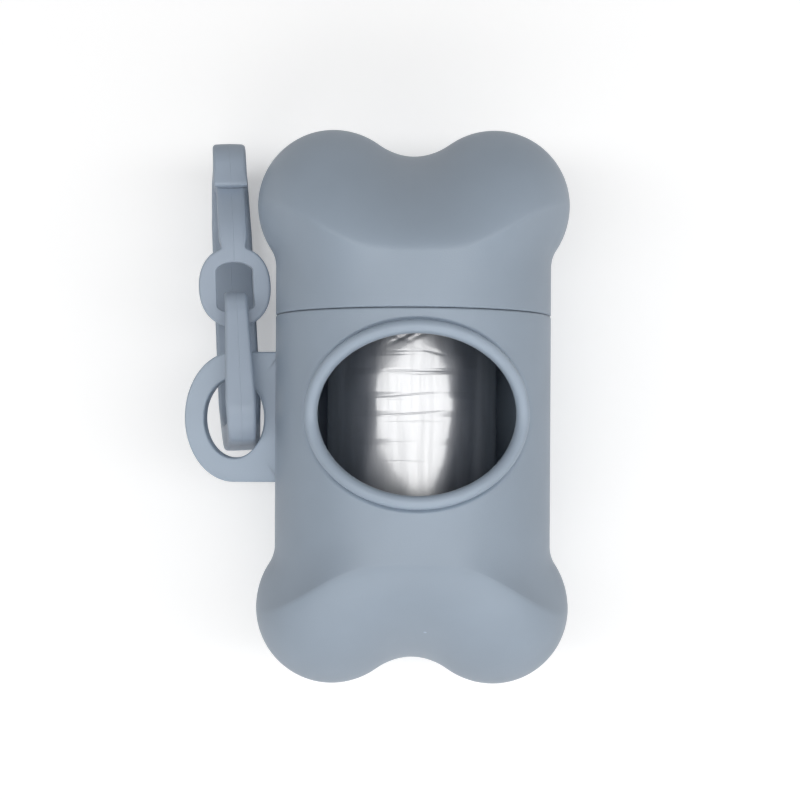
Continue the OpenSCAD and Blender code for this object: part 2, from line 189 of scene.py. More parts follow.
def with_poles(points, rows):
    """Points with the end's inner and outer pole added, and the triangles that fan out from them to
    the first and the last row."""
    poles, last_row = len(points) + np.arange(2), (rows - 1) * around + np.arange(around)
    tris = np.vstack([fan(np.arange(around)[::-1], poles[0]), fan(last_row, poles[1])])
    return np.vstack([points, [[0, dip_y - wall, 0], [0, dip_y, 0]]]), tris


def make_piece(name, points, quads, tris=np.zeros((0, 3), int), caps=(), sharp=40):
    """A mesh object from points in millimetres, with quads, triangles and whole rings as caps. Faces
    are turned outwards by the sign of the volume that they enclose, and doubled points are merged."""
    faces = [np.asarray(quads).reshape(-1, 4), np.asarray(tris).reshape(-1, 3)]
    faces += [np.asarray(c)[None] for c in caps]
    volume = 0
    for f in faces:
        p = points[f]
        volume += np.einsum("ijk,ijk->", np.cross(p[:, 1:-1], p[:, 2:]), p[:, :1] + 0 * p[:, 2:])
    if volume < 0:
        faces = [f[:, ::-1] for f in faces]
    sizes = np.concatenate([np.full(len(f), f.shape[1]) for f in faces])
    corners = np.concatenate([f.ravel() for f in faces])
    mesh = bpy.data.meshes.new(name)
    mesh.vertices.add(len(points))
    mesh.vertices.foreach_set("co", (points * 0.001).ravel())
    mesh.loops.add(len(corners))
    mesh.loops.foreach_set("vertex_index", corners)
    mesh.polygons.add(len(sizes))
    mesh.polygons.foreach_set("loop_start", np.cumsum(sizes) - sizes)
    mesh.update(calc_edges=True)
    joined = bmesh.new()
    joined.from_mesh(mesh)
    bmesh.ops.remove_doubles(joined, verts=joined.verts, dist=1e-6)
    joined.to_mesh(mesh)
    joined.free()
    mesh.shade_smooth()
    mesh.set_sharp_from_angle(angle=math.radians(sharp))
    piece = bpy.data.objects.new(name, mesh)
    bpy.context.collection.objects.link(piece)
    return piece


def window_patch(points, j0, ys, radius, gutter=0.0):
    """Rings that go from the rim of a block of rows and columns to the window's oval on a cylinder,
    closer together near the oval. The gutter, as deep as given, is a Gaussian of the distance from
    the bead's outer foot. Returns all points, the new quads and the oval's ring."""
    (i0, i1), j1 = window_turns, j0 + len(ys) - 1
    i, j = np.arange(i0, i1 + 1), np.arange(j0, j1 + 1)
    rim = np.concatenate([
        j0 * around + i[:-1], j[:-1] * around + i1, j1 * around + i[:0:-1], j[:0:-1] * around + i0])
    turn, y = np.arctan2(points[rim, 2], points[rim, 0]), points[rim, 1]
    middle = (ys[0] + ys[-1]) / 2
    way = np.arctan2((y - middle) / np.ptp(y), (np.pi / 2 - turn) / np.ptp(turn))
    oval_turn = np.arccos((window_x + (window_half_w - bead_r / 2) * np.cos(way)) / radius)
    oval_y = -window_y + window_half_h * np.sin(way)
    k = 1 - np.linspace(1, 0, 30)[1:, None] ** 2
    a, y = turn + k * (oval_turn - turn), y + k * (oval_y - y)
    x = radius * np.cos(a) - window_x
    out = np.hypot(x / (window_half_w + bead_r), (y + window_y) / (window_half_h + bead_r)) - 1
    r = radius - gutter * np.exp(-((out * window_half_h / gutter_w) ** 2))
    rings = np.stack([r * np.cos(a), y, r * np.sin(a)], -1)
    numbers = len(points) + np.arange(a.size).reshape(a.shape)
    return np.vstack([points, rings.reshape(-1, 3)]), ring_quads(np.vstack([rim, numbers])), numbers[-1]


# The shell is worked out with its lobes towards +Y, from the middle of its inside, over the neck
# and the seam, to the middle of its outside, and it is turned over at the end.
inside = np.vstack([
    inner_point(turns, inner_v, cavity_r), circles([(cavity_r, y) for y in inner_ys[::-1]])])
neck_top = -seam_y - neck_len
neck = circles([
    (cavity_r, -neck_start), (neck_in_r, -neck_start), (neck_in_r, neck_top + 0.2),
    (neck_in_r + 0.15, neck_top), (neck_r - 0.3, neck_top), (neck_r - 0.1, neck_top + 0.1),
    (neck_r, neck_top + 0.4), (neck_r, -seam_y)])
outside = np.vstack([circles(seam_corner(-seam_y, 1)), circles([(waist_r, y) for y in outer_ys])])
rows = np.vstack([
    inside, neck, outside, to_flare(outer_ys[-1]), end_point(turns, np.vstack([flare_v, dome_v]))])

first_blocks = (len(inner_v), len(inside) + len(neck) + len(outside) - len(outer_ys))
quads = tube_quads(len(rows), around)
kept = np.ones(quads.shape[:2], bool)
for j, ys in zip(first_blocks, (inner_ys, outer_ys)):
    kept[j : j + len(ys) - 1, window_turns[0] : window_turns[1]] = False
points = rows.reshape(-1, 3)
points, inner_patch, inner_oval = window_patch(points, first_blocks[0], inner_ys, cavity_r)
points, outer_patch, outer_oval = window_patch(
    points, first_blocks[1], outer_ys, waist_r, gutter_depth)
inner_oval = inner_oval[::-1]
nearest = np.argmin(np.abs(points[inner_oval] - points[outer_oval[0]]).sum(1))
window_wall = ring_quads(np.stack([outer_oval, np.roll(inner_oval, -nearest)]))
points, end_tris = with_poles(points, len(rows))
lower_shell = make_piece(
    "lower_shell", points * [1, -1, 1] + [axis_x, 0, axis_z],
    np.vstack([quads[kept], inner_patch, outer_patch, window_wall]), end_tris)


class Value:
    """One output of a material's node. Arithmetic on it adds Math nodes to the same material."""

    def __init__(self, finish, socket):
        self.finish, self.socket = finish, socket

    def math(self, operation, *values):
        """A Math node that takes the values in order."""
        return self.finish.add("ShaderNodeMath", dict(enumerate(values)), operation=operation)

    def __add__(self, other):
        return self.math("ADD", self, other)

    def __sub__(self, other):
        return self.math("SUBTRACT", self, other)

    def __rsub__(self, other):
        return self.math("SUBTRACT", other, self)

    def __mul__(self, other):
        return self.math("MULTIPLY", self, other)

    __radd__, __rmul__ = __add__, __mul__

    def above(self, start, end):
        """0 below start, 1 above end and smooth between: a smoothstep."""
        values = {"Value": self, "From Min": start, "From Max": end}
        return self.finish.add("ShaderNodeMapRange", values, interpolation_type="SMOOTHSTEP")


class Finish:
    """A material with a Principled shader, whose plain numbers are given at the start."""

    def __init__(self, name, **shader):
        self.material = bpy.data.materials.new(name)
        self.material.use_nodes = True
        self.tree = self.material.node_tree
        self.shader = self.tree.nodes["Principled BSDF"]
        for socket, value in shader.items():
            self.shader.inputs[socket.replace("_", " ")].default_value = value
        self.place = self.add("ShaderNodeTexCoord", out="Object")

    def add(self, kind, inputs=None, out=0, **settings):
        """A node of the kind: its settings first, then its inputs. Returns one of its outputs."""
        node = self.tree.nodes.new(kind)
        for name, value in settings.items():
            setattr(node, name, value)
        for name, value in (inputs or {}).items():
            self.put(node.inputs[name], value)
        return Value(self, node.outputs[out])

    def put(self, socket, value):
        """Links a Value to a socket, or sets a plain value on it."""
        if isinstance(value, Value):
            self.tree.links.new(value.socket, socket)
        else:
            socket.default_value = value

    def noise(self, scale, detail=2.0, roughness=0.5, stretch=None):
        """Noise on object coordinates; the scale is in cycles for each metre."""
        place = self.place
        if stretch:
            place = self.add("ShaderNodeMapping", {"Vector": place, "Scale": stretch})
        inputs = {"Vector": place, "Scale": scale, "Detail": detail, "Roughness": roughness}
        return self.add("ShaderNodeTexNoise", inputs)

    def mix(self, factor, a, b):
        """Colour a where the factor is 0, b where it is 1, and an even mix between."""
        node = self.tree.nodes.new("ShaderNodeMix")
        node.data_type = "RGBA"
        self.put(node.inputs["Factor"], factor)
        self.put(node.inputs["A"], (*a, 1) if isinstance(a, tuple) else a)
        self.put(node.inputs["B"], (*b, 1) if isinstance(b, tuple) else b)
        return Value(self, node.outputs["Result"])

    def set(self, **values):
        """Gives the shader its values and links, and returns the material."""
        for socket, value in values.items():
            self.put(self.shader.inputs[socket.replace("_", " ")], value)
        return self.material

    def bump(self, height, distance):
        """A bump from a height between 0 and 1, whose full height is the distance in metres."""
        return self.add("ShaderNodeBump", {"Height": height, "Distance": distance, "Strength": 1.0})


def moulded_plastic(name, colour, roughness, grain, parting=None, place=(0, 0, 0)):
    """Matt moulded plastic: a fine grain, a slow unevenness, and sparse pale specks of dust. Where
    a parting direction is given, a fine raised line lies on the plane through the place, in mm."""
    finish = Finish(name, Specular_IOR_Level=0.5, Sheen_Weight=0.15, Sheen_Roughness=0.2)
    cloud = finish.noise(70, detail=3)
    fine = finish.noise(5200, detail=2, roughness=0.6)
    slow = finish.noise(260, detail=2)
    cells = finish.add("ShaderNodeTexVoronoi", {"Vector": finish.place, "Scale": 105}, feature="F1")
    chance = finish.noise(900, detail=0)
    speck = (1 - cells.above(0.02, 0.035)) * chance.above(0.5, 0.56)
    darker, lighter = tuple(c * 0.97 for c in colour), tuple(c * 1.03 for c in colour)
    tone = finish.mix(cloud.above(0.3, 0.7), darker, lighter)
    coat = finish.mix(speck * 0.6, tone, tuple(min(1, c * 1.5 + 0.1) for c in colour))
    height = fine * 0.6 + slow * 0.4
    if parting is not None:
        both = {0: finish.place, 1: tuple(parting)}
        along = finish.add("ShaderNodeVectorMath", both, out="Value", operation="DOT_PRODUCT")
        offset = along - float(np.dot(parting, place)) / 1000
        # Squared metres: full height up to 0.02 mm from the plane, and none past 0.095 mm
        line = 1 - (offset * offset).above(4e-10, 9e-9)
        height = height + line * 1.5
    return finish.set(Base_Color=coat, Roughness=fine * 0.12 + (roughness - 0.06) + speck * 0.2,
                      Normal=finish.bump(height, grain))


shell_colour = (0.318, 0.383, 0.462)
shell_plastic = moulded_plastic("matt_shell_plastic", shell_colour, 0.44, 0.000035)
lower_shell.data.materials.append(shell_plastic)
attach(lower_shell, "body")
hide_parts("body_shell")

# ---- Cap ----
# The upper end of the bone, moulded to match. It slides over the neck, and a small step inside it
# stops just past the neck's end.

socket_end = seam_y + neck_len + socket_gap
cap_inner = inner_point(turns, inner_v, cap_cavity_r)
cap_inner[..., 1] = np.maximum(cap_inner[..., 1], socket_end)
cap_seam = seam_y + seam_gap
rows = np.vstack([
    cap_inner,
    circles([(cap_cavity_r, socket_end), (socket_r, socket_end)]),
    circles([(socket_r, cap_seam + 0.2), (socket_r + 0.15, cap_seam)]),
    circles(seam_corner(cap_seam, 1)),
    circles([(waist_r, cap_seam + 0.3), (waist_r, cap_seam + 0.6), (waist_r, cap_seam + 1.2)]),
    to_flare(cap_seam + 1.2),
    end_point(turns, np.vstack([flare_v, dome_v]))])
points, end_tris = with_poles(rows.reshape(-1, 3), len(rows))
cap = make_piece("cap", points + [axis_x, 0, axis_z], tube_quads(len(rows), around), end_tris)
cap.data.materials.append(shell_plastic)
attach(cap, "cap")
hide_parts("cap_shell")

# ---- Bead round the window ----
# A round bead that lines the window's edge and stands up from the front. It is part of the same
# moulding. Its colour is painted a little paler than the shell's, as painted light that stands in for
# light it catches.

bead_rows, bead_cols = 288, 32
bead_turn = np.linspace(0, 2 * np.pi, bead_rows, endpoint=False)[:, None]


def bead_middle(a):
    """The window's oval laid on the waist: an ellipse in plan, whose height is the waist's circle."""
    x = window_x + window_half_w * np.cos(a)
    return np.stack([x, window_y + window_half_h * np.sin(a), np.sqrt(waist_r**2 - x**2)], -1)


def closed_quads(rows, cols):
    """Quads over rows of points that close round their columns, with the last row joined to the
    first."""
    return tube_quads(rows + 1, cols) % (rows * cols)


bead_out = bead_middle(bead_turn) * [1, 0, 1] / waist_r
bead_way = bead_middle(bead_turn + 0.01) - bead_middle(bead_turn - 0.01)
bead_way /= np.linalg.norm(bead_way, axis=-1, keepdims=True)
bead_side = np.cross(bead_way, bead_out)
section = np.linspace(0, 2 * np.pi, bead_cols, endpoint=False)[None, :, None]
points = bead_middle(bead_turn) + bead_r * (bead_side * np.cos(section) + bead_out * np.sin(section))
bead = make_piece("window_bead", points.reshape(-1, 3) + [axis_x, 0, axis_z],
                  closed_quads(bead_rows, bead_cols))
# Painted light: the shell's colour made 13 percent paler for the bead and the lug, standing in for light
# they catch
bead_lug_painted_light_colour = tuple(1.13 * c for c in shell_colour)
bead_lug_painted_light_plastic = moulded_plastic("shell_plastic_painted_lighter", bead_lug_painted_light_colour, 0.42, 0.00003)
bead.data.materials.append(bead_lug_painted_light_plastic)
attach(bead, "body")

# ---- Lug ----
# A flat ear on the side of the waist, in the plane of the bone's axis, with an oval hole that the
# clip's foot passes through. Its edges are softly rounded, and it is part of the same moulding.

lug_reach, lug_half_h, lug_y, lug_t, lug_round, lug_band = 14.7, 10.6, -1.8, 3.6, 8.0, 3.2
hole_half_w, hole_half_h, hole_drop, lug_edge = 4.85, 6.5, 0.2, 0.35
lug_left = -(waist_r + lug_reach)
hole_x = lug_left + lug_band + hole_half_w


def moved(outline, distance):
    """An outline moved to its left along its own normals; on a counter-clockwise one this is inwards."""
    way = np.roll(outline, -1, 0) - np.roll(outline, 1, 0)
    way /= np.linalg.norm(way, axis=1, keepdims=True)
    return outline + np.reshape(distance, (-1, 1)) * np.stack([-way[:, 1], way[:, 0]], -1)


def rim(outline, half, edge, side=1, crown=0.0):
    """Rings over a plate's rounded rim, from its back face to its front: a quarter circle, the wall
    with a slight crown, and a quarter circle. Each ring holds (across, along, height)."""
    t = np.concatenate([np.linspace(-np.pi / 2, 0, 7), np.zeros(3), np.linspace(0, np.pi / 2, 7)])
    wall_part = np.concatenate([-np.ones(7), [-0.5, 0, 0.5], np.ones(7)])
    rings = []
    for angle, part in zip(t, wall_part):
        inset = edge * (1 - np.cos(angle)) - crown * (1 - part**2)
        height = part * (half - edge) + edge * np.sin(angle)
        rings.append(np.column_stack([moved(outline, side * inset), height + 0 * outline[:, 0]]))
    return np.array(rings)


def plate_with_hole(outline, half, edge, hole, hole_half, hole_edge, steps):
    """A plate between an outline and a hole with as many points: the outer rim, the front face in
    even steps, the hole's rim and the back face. Returns rings that close on themselves."""
    outer, inner = rim(outline, half, edge), rim(hole, hole_half, hole_edge, -1)[::-1]
    k = np.linspace(0, 1, steps + 2)[1:-1, None, None]
    front = outer[-1] + k * (inner[0] - outer[-1])
    back = inner[-1] + k * (outer[0] - inner[-1])
    return np.concatenate([outer, front, inner, back])


def resampled(path, count, soft=0.0):
    """A closed path as evenly spaced points. Softening rounds its corners: it damps the path's
    waves with the Gaussian whose width is given in millimetres."""
    path = np.vstack([path, path[:1]])
    run = np.concatenate([[0], np.cumsum(np.linalg.norm(np.diff(path[:, :2], axis=0), axis=1))])
    at = np.linspace(0, run[-1], count, endpoint=False)
    even = np.stack([np.interp(at, run, column) for column in path.T], -1)
    waves = np.fft.rfftfreq(count, run[-1] / count)[:, None]
    damped = np.fft.rfft(even, axis=0) * np.exp(-2 * (np.pi * waves * soft) ** 2)
    return np.fft.irfft(damped, count, axis=0)


lug_points = 320
arc = np.radians(np.linspace(90, 270, 120))
root_x = -waist_r + wall / 2
lug_outline = resampled(np.vstack([
    [[root_x, lug_y + lug_half_h]],
    np.stack([lug_left + lug_round * (1 + np.cos(arc)), lug_y + lug_half_h * np.sin(arc)], -1),
    [[root_x, lug_y - lug_half_h]]]), lug_points, 0.1)
hole_y = lug_y - hole_drop
way = np.arctan2((lug_outline[:, 1] - hole_y) / hole_half_h, (lug_outline[:, 0] - hole_x) / hole_half_w)
lug_hole = np.stack([hole_x + hole_half_w * np.cos(way), hole_y + hole_half_h * np.sin(way)], -1)
rings = plate_with_hole(lug_outline, lug_t / 2, lug_edge, lug_hole, lug_t / 2, lug_edge, 6)
lug = make_piece("clip_lug", rings.reshape(-1, 3) + [axis_x, 0, axis_z],
                 closed_quads(len(rings), lug_points))
# The lug takes the bead's colour, painted paler to stand in for light it catches
lug.data.materials.append(bead_lug_painted_light_plastic)
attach(lug, "body")

# ---- Clip: spine, head, foot and nose ----
# One stiff hook, finer in its grain, with a thin parting line; its colour is painted a little paler than
# the shell's, as painted light. Its foot is in the lug's hole, its spine lies near the table, and its head
# holds the gate behind a short front lip.
# In its own frame T runs across it, U from foot to head, and V out to the nose.

clip_len, clip_depth, foot_t, spine_t, nose_in, nose_t, nose_lean = 49.5, 23.0, 3.8, 3.5, 4.7, 3.3, 2.0
spine_w, foot_w, head_w, tip_w, nose_w, nose_len = 7.0, 4.3, 5.4, 3.7, 4.8, 21.6
foot_low_w, foot_back_w, spine_low_w = 4.84, 5.9, 7.3
seat_r, head_t, head_drop, lip_t, lip_flare = 7.2, 4.0, 8.6, 2.0, 0.75
root_r, root_gap, gate_open = 1.3, 0.15, 22
foot_bend, back_bend, corner_front, corner_back = 3.2, 6.2, 5.0, 8.0
hook_t, hook_bend, hook_dip = 1.9, 1.8, 0.8
clip_lean, clip_turn, clip_pitch = 2.6, 9.4, 9.8
foot_x, foot_y = hole_x + 0.8, lug_y - 2
clip_edge, clip_crown, spine_set, foot_more = 0.65, 0.07, 0.6, 0.6

clip_top, nose_front = clip_len - foot_t / 2, nose_in + nose_t
clip_back = nose_front - clip_depth
seat_u, seat_v = clip_top - head_t - seat_r, clip_back + spine_t + seat_r + 0.2
head_low = clip_top - head_drop
root_u, root_v = head_low + 2, nose_front - lip_t - root_gap - root_r
spine_v, hook_u = clip_back + spine_t / 2, nose_len - hook_t / 2


def arc_path(cu, cv, r, start, end, widths, depths, count=40):
    """Stations (u, v, width, depth) along an arc, with width and depth changing evenly."""
    a = np.radians(np.linspace(start, end, count))
    sizes = np.linspace(*widths, count), np.linspace(*depths, count)
    return np.stack([cu + r * np.cos(a), cv + r * np.sin(a), *sizes], -1)


def nose_v(u):
    """Middle of the nose's depth at u: a straight line at the nose's lean."""
    return nose_in + nose_t / 2 + u * math.tan(math.radians(nose_lean))


def straight(start, end, count=60):
    """Stations (u, v, width, depth) in even steps along a straight line."""
    return np.linspace(start, end, count)


hook_from = hook_u - hook_bend
hook_v, nose_top = nose_v(hook_from) - hook_bend, hook_from - 1
front_u, back_u, front_v = clip_top - corner_front, clip_top - corner_back, nose_front - spine_t / 2
# From the nose's tip down to the foot, back to the spine, up to the head and down its lip
stations = np.vstack([
    straight((hook_u, nose_in - hook_dip, tip_w - 0.3, hook_t), (hook_u, hook_v, tip_w, hook_t), 12)[:-1],
    arc_path(hook_from, hook_v, hook_bend, 0, 90, (tip_w, tip_w), (hook_t, nose_t - 0.3)),
    straight((nose_top, nose_v(nose_top), tip_w, nose_t),
             (foot_bend + 0.3, nose_v(foot_bend), nose_w, nose_t)),
    arc_path(foot_bend, nose_v(foot_bend) - foot_bend, foot_bend, 92, 180,
             (nose_w, foot_w), (nose_t, foot_t)),
    straight((0, nose_v(0) - foot_bend - 0.5, foot_w, foot_t), (0, -lug_t, foot_low_w, foot_t), 30),
    arc_path(back_bend, spine_v + back_bend, back_bend, 180, 270,
             (foot_back_w, spine_low_w), (foot_t, spine_t), 60),
    straight((back_bend + 0.5, spine_v, spine_low_w, spine_t), (back_u, spine_v, spine_w, spine_t), 100),
    arc_path(back_u, clip_back + corner_back, corner_back - spine_t / 2, 270, 360,
             (spine_w, head_w), (spine_t, spine_t)),
    arc_path(front_u, nose_front - corner_front, corner_front - spine_t / 2, 0, 90,
             (head_w, head_w), (spine_t, spine_t)),
    straight((front_u - 0.3, front_v, head_w, spine_t), (head_low, front_v, head_w, spine_t), 12)])

# The two sides of that path, half a depth to its left and right, and the foot drawn out a little
way = np.gradient(stations[:, :2], axis=0)
way /= np.linalg.norm(way, axis=1, keepdims=True)
across = np.stack([-way[:, 1], way[:, 0]], -1) * stations[:, 3:] / 2
outer_side = np.column_stack([stations[:, :2] - across, stations[:, 2]])
outer_side[:, 0] -= foot_more * np.clip((foot_bend - outer_side[:, 0]) / (foot_bend + foot_t / 2), 0, 1)
inner_side = np.column_stack([stations[:, :2] + across, stations[:, 2]])[stations[:, 0] < seat_u - 1]
inner_side = inner_side[: np.argmax(inner_side[:, 0] > seat_u - 2) or None]

# Inside the head: up the lip's back, round the gate's root, down to a point, and round the seat
room_r = root_r + root_gap
round_root = np.radians(np.linspace(90, gate_open - 90, 40))
seat_arc = np.radians(np.linspace(64.5, -84, 90))
head_inside = np.vstack([
    [[head_low, root_v + room_r + lip_flare * 0.6]],
    np.stack([root_u + room_r * np.cos(round_root), root_v + room_r * np.sin(round_root)], -1),
    np.stack([seat_u + seat_r * np.cos(seat_arc), seat_v + seat_r * np.sin(seat_arc)], -1)])
head_widths = np.concatenate([np.full(41, head_w), np.linspace(head_w, spine_w, 90)])
hook_outline = np.vstack([outer_side, np.column_stack([head_inside, head_widths]), inner_side[::-1]])
hook_soft = 0.32
hook_outline, hook_width = np.split(resampled(hook_outline, 1500, hook_soft), [2], axis=1)


def edge_along(outline, edge):
    """Edge radius along an outline: at most 0.45 of the outline's own radius where that is convex,
    as the least and then the mean over 15 points."""
    path = outline[:, 0] + 1j * outline[:, 1]
    way, behind = np.roll(path, -1) - path, path - np.roll(path, 1)
    convex = np.maximum(np.angle(way * behind.conj()) / np.abs(way), 1e-6)
    limit = np.minimum(edge, 0.45 / convex)
    limit = np.min([np.roll(limit, k) for k in range(-7, 8)], axis=0)
    return np.mean([np.roll(limit, k) for k in range(-7, 8)], axis=0)


def turned(points, lean, turn, pitch):
    """Points turned about X by the pitch, then about Y by the turn, then about Z by the lean."""
    for angle, (a, b) in ((pitch, (1, 2)), (turn, (2, 0)), (lean, (0, 1))):
        c, s = math.cos(math.radians(angle)), math.sin(math.radians(angle))
        first, second = points[:, a] * c - points[:, b] * s, points[:, a] * s + points[:, b] * c
        points = points.copy()
        points[:, a], points[:, b] = first, second
    return points


clip_place = np.array([axis_x + foot_x, foot_y, axis_z])
clip_way = turned(np.eye(3), clip_lean, clip_turn, -clip_pitch)


def in_clip(points):
    """Points of the clip's own frame (T, U, V) put where the clip hangs at rest."""
    return clip_place + points @ clip_way


hook_edge = edge_along(hook_outline, clip_edge)
side_rings = rim(hook_outline, hook_width[:, 0] / 2, hook_edge, 1, clip_crown)
flat_ring = np.column_stack([moved(hook_outline, hook_edge + 0.03), hook_width / 2])
side_rings = np.concatenate([[flat_ring * [1, 1, -1]], side_rings, [flat_ring]])
points = side_rings.reshape(-1, 3)[:, [2, 0, 1]]
points[:, 0] += spine_set * (nose_front - points[:, 2]) / clip_depth
points = in_clip(points)
ring = np.arange(len(hook_outline))
side_face = np.array(delaunay_2d_cdt(flat_ring[:, :2].tolist(), [], [ring.tolist()], 1, 1e-6)[2])
hook = make_piece("clip_hook", points, tube_quads(len(side_rings), len(ring)),
                  np.vstack([side_face[:, ::-1], side_face + len(points) - len(ring)]), sharp=75)
# Painted light: about 6 percent paler than the shell's colour, standing in for light the clip catches; the
# gate uses it too
clip_colour_painted_paler = (0.338, 0.400, 0.484)
clip_plastic = moulded_plastic("fine_clip_plastic", clip_colour_painted_paler, 0.46, 0.00002, clip_way[0], clip_place)
hook.data.materials.append(clip_plastic)
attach(hook, "clip")
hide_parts("clip_frame")

# ---- Clip: gate ----
# A thin sprung arm that hangs from its root in the head and ends in an oval eye. The eye stops
# behind the nose, whose hooked tip lies in its hole. Same plastic as the hook. Pushed inwards, it
# opens the clip.

gate_w, gate_t, eye_w, eye_len, eye_t, eye_slope = 4.6, 2.2, 11.6, 13.0, 2.6, 15.0
eye_power, gate_bow, gate_bow_power, gate_edge = 2.25, 1.1, 1.3, 0.4
eye_hole_w, eye_hole_top, eye_hole_low, eye_hole_edge = 5.94, 4.0, -3.9, 0.2
eye_mid_u, eye_mid_v = 22.718, 4.652

slope = math.radians(eye_slope)
low_end, high_end = -eye_len / 2 - 0.5, 4.976
below = np.linspace(low_end, high_end, 60)[:-1]
q = np.linspace(1, 0, 160)
top_u, top_v = eye_mid_u + high_end * math.cos(slope), eye_mid_v + high_end * math.sin(slope)
gate_u = np.concatenate([eye_mid_u + below * math.cos(slope), root_u + q * (top_u - root_u)])
gate_v = np.concatenate([eye_mid_v + below * math.sin(slope),
                         root_v + q * (top_v - root_v) + gate_bow * np.sin(np.pi * q**gate_bow_power)])
gate_s = np.concatenate([[0], np.cumsum(np.hypot(np.diff(gate_u), np.diff(gate_v)))]) + low_end
gate_way = np.gradient(gate_v, gate_s)


def from_below(path):
    """A closed path that starts at its middle point below: the least |across| with along under 0."""
    return np.roll(path, -np.argmin(np.abs(path[:, 0]) + 9 * (path[:, 1] > 0)), axis=0)


def on_gate(points):
    """Points (across, along, height) of the flat gate bent onto its middle line in the clip's frame."""
    u, v, way = (np.interp(points[:, 1], gate_s, line) for line in (gate_u, gate_v, gate_way))
    tall = points[:, 2] / np.sqrt(1 + way**2)
    return np.stack([points[:, 0], u - way * tall, v + tall], -1)


arm_top = gate_s[-1] - 0.4
eye_turn = np.linspace(np.radians(108), np.radians(432), 400)
eye_shape = np.abs(np.cos(eye_turn)) ** eye_power + np.abs(np.sin(eye_turn)) ** eye_power
eye_shape **= -1 / eye_power
arm_low, gate_around = eye_len / 2 + 1.2, 560
gate_outline = np.vstack([
    [[gate_w / 2, arm_low], [gate_w / 2, arm_top], [-gate_w / 2, arm_top], [-gate_w / 2, arm_low]],
    np.stack([eye_w / 2 * eye_shape * np.cos(eye_turn), eye_len / 2 * eye_shape * np.sin(eye_turn)], -1)])
gate_outline = from_below(resampled(gate_outline, gate_around, 0.35))
hole_side = np.linspace(-1, 1, 60)
eye_hole = np.vstack([
    np.stack([hole_side * eye_hole_w / 2, eye_hole_low + 0.7 * hole_side**4], -1),
    np.stack([-hole_side * eye_hole_w / 2, eye_hole_top - 1.1 * np.abs(hole_side) ** 2.6], -1)])
eye_hole = from_below(resampled(eye_hole, gate_around, 0.22))
# The hole's points are shared out so that those across from the arm lie close together at its top
run = np.arange(gate_around) / gate_around
eye_share = np.mean(gate_outline[:, 1] < eye_len / 2 - 0.8)
hole_share = np.interp(run, [0, eye_share / 2, 1 - eye_share / 2, 1], [0, 0.42, 0.58, 1])
eye_hole = np.stack([np.interp(hole_share, np.append(run, 1), np.append(c, c[0])) for c in eye_hole.T], -1)
gate_half = np.interp(gate_outline[:, 1], [eye_len / 2 - 1, eye_len / 2 + 2.5], [eye_t / 2, gate_t / 2])
rings = plate_with_hole(gate_outline, gate_half, edge_along(gate_outline, gate_edge),
                        eye_hole, eye_t / 2, eye_hole_edge, 10)
gate_points = on_gate(rings.reshape(-1, 3))

# The root: a short round bar across the clip, whose ends are dished by as much as the gate's edge
bar_around = 48
bar_turn = np.linspace(0, 2 * np.pi, bar_around, endpoint=False)[None, :]
dish = gate_edge * (1 - np.sin(np.linspace(0, np.pi / 2, 7)))
bar_t = np.concatenate([dish - gate_w / 2, gate_w / 2 - dish[::-1]])[:, None]
bar_r = root_r - np.concatenate([dish, dish[::-1]])[:, None]
bar = np.stack([
    bar_t + 0 * bar_turn, root_u + bar_r * np.cos(bar_turn), root_v + bar_r * np.sin(bar_turn)], -1)
plate_quads = closed_quads(len(rings), gate_around)
bar_quads = tube_quads(len(bar), bar_around) + len(gate_points)
bar_first = np.arange(bar_around) + len(gate_points)
bar_last = bar_first + bar[..., 0].size - bar_around
gate = make_piece("clip_arm", in_clip(np.vstack([gate_points, bar.reshape(-1, 3)])),
                  np.vstack([plate_quads.reshape(-1, 4), bar_quads.reshape(-1, 4)]),
                  caps=(bar_first[::-1], bar_last), sharp=60)
gate.data.materials.append(clip_plastic)
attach(gate, "gate")
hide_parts("clip_gate")

# ---- Roll of bags ----
# Thin black film, wound tight in a continuous strip of bags. It is glossy and slightly creased,
# so that a lamp above draws one ragged bright band along it. Its ends show the film's edges.

roll_r, roll_half, roll_bore_r = 14.0, 28.5, 6.0
top_sunk, top_rise, side_slack, film_fit = 0.5, 0.12, 0.25, 0.02
slack_to, slack_fade, round_from, round_over, round_in = 21, 5, 24.5, 4, 1.7
low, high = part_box("bag_roll")
roll_x, roll_z = (low[0] + high[0]) * 500, (low[2] + high[2]) * 500
# Each crease: place along the roll, slope, depth, half width, and where it starts and ends across
creases = np.array([
    (8.85, 0.0, 0.022, 0.1, -3, 2), (8.35, 0.01, 0.014, 0.1, -4, 1), (5.68, 0.008, 0.034, 0.11, -4.5, 5),
    (5.22, 0.0, 0.018, 0.1, -4, 3), (2.0, 0.065, 0.034, 0.1, -4.5, 4), (1.35, 0.03, 0.018, 0.1, -5, -1),
    (-1.02, 0.068, 0.038, 0.1, -4.5, 4.5), (-2.3, 0.03, 0.016, 0.1, -4.5, 4.5),
    (-5.45, 0.04, 0.014, 0.1, -4, 0.5), (-8.45, 0.04, 0.016, 0.1, -4, 2), (10.9, 0.45, 0.13, 0.45, 0.5, 6),
    (10.2, -0.35, 0.1, 0.4, -6, -1.5), (11.9, 0.5, 0.12, 0.4, -3, 3), (9.5, -0.25, 0.05, 0.3, 1, 5)])
# How round the film's top is along the roll, 1 for a plain cylinder, and how far its middle is off
film_at = (-14, -9.5, -6.0, -5.0, -1.6, -0.6, 1.3, 2.4, 5.1, 6.1, 8.0, 9.0, 11.2)
film_round = (0.36, 0.4, 0.5, 0.45, 0.48, 0.34, 0.3, 0.4, 0.32, 0.42, 0.5, 0.62, 0.8)
film_middle = (-2.4, -1.7, -0.8, -0.5, 0.0, 0.1, 0.1, -0.5, -0.2, 0.5, 0.0, -0.4, -0.6)


